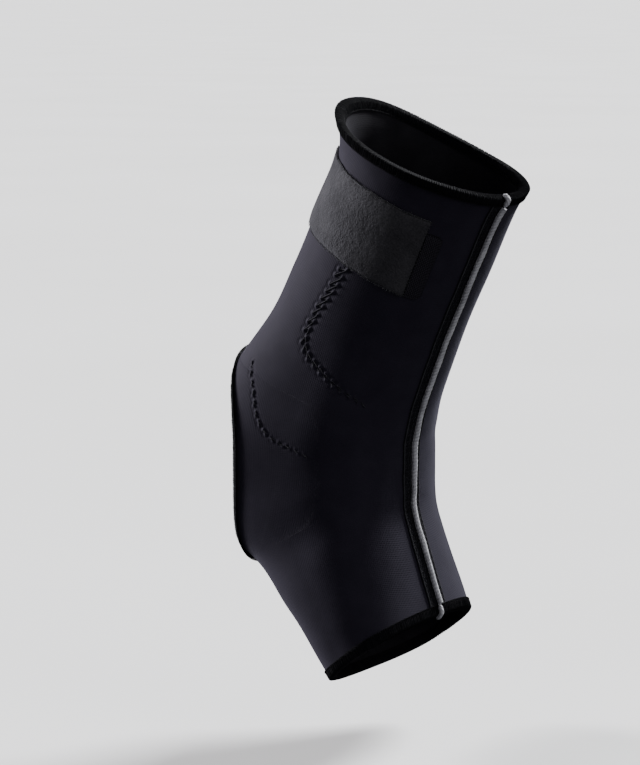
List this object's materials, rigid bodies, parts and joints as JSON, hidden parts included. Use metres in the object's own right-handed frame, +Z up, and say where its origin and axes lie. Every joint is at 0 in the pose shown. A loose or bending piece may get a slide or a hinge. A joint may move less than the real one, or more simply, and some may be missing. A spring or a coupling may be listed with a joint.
{
  "type": "ankle brace",
  "caption": "Pull-on neoprene ankle brace with open heel and open toe, a piped front seam, overlocked edges and a brushed strap round the calf, in its worn, pointed-foot shape.",
  "frame": {"origin": "the middle of the ankle, inside the sleeve, level with the centre of the front bend", "axes": "+X forwards to the toes, +Y to the inner ankle, +Z up"},
  "size_m": [0.1212, 0.0938, 0.2401],
  "materials": {
    "neoprene": "black knit facing on foam neoprene, faintly blue, matte with a soft sheen",
    "binding": "black overlock thread, dense and matte",
    "tape": "black woven seam tape, flatlock stitched",
    "piping": "light grey twisted piping cord",
    "brushed_loop": "grey brushed loop fabric, slightly fuzzy",
    "hook_tape": "black hook tape, matte"
  },
  "bodies": {
    "root": {"sleeve": "neoprene", "top_binding": "binding", "toe_binding": "binding", "heel_binding": "binding", "seam_tape": "tape", "seam_piping": "piping", "calf_strap": "brushed_loop", "hook_tab": "hook_tape"}
  },
  "joints": []
}
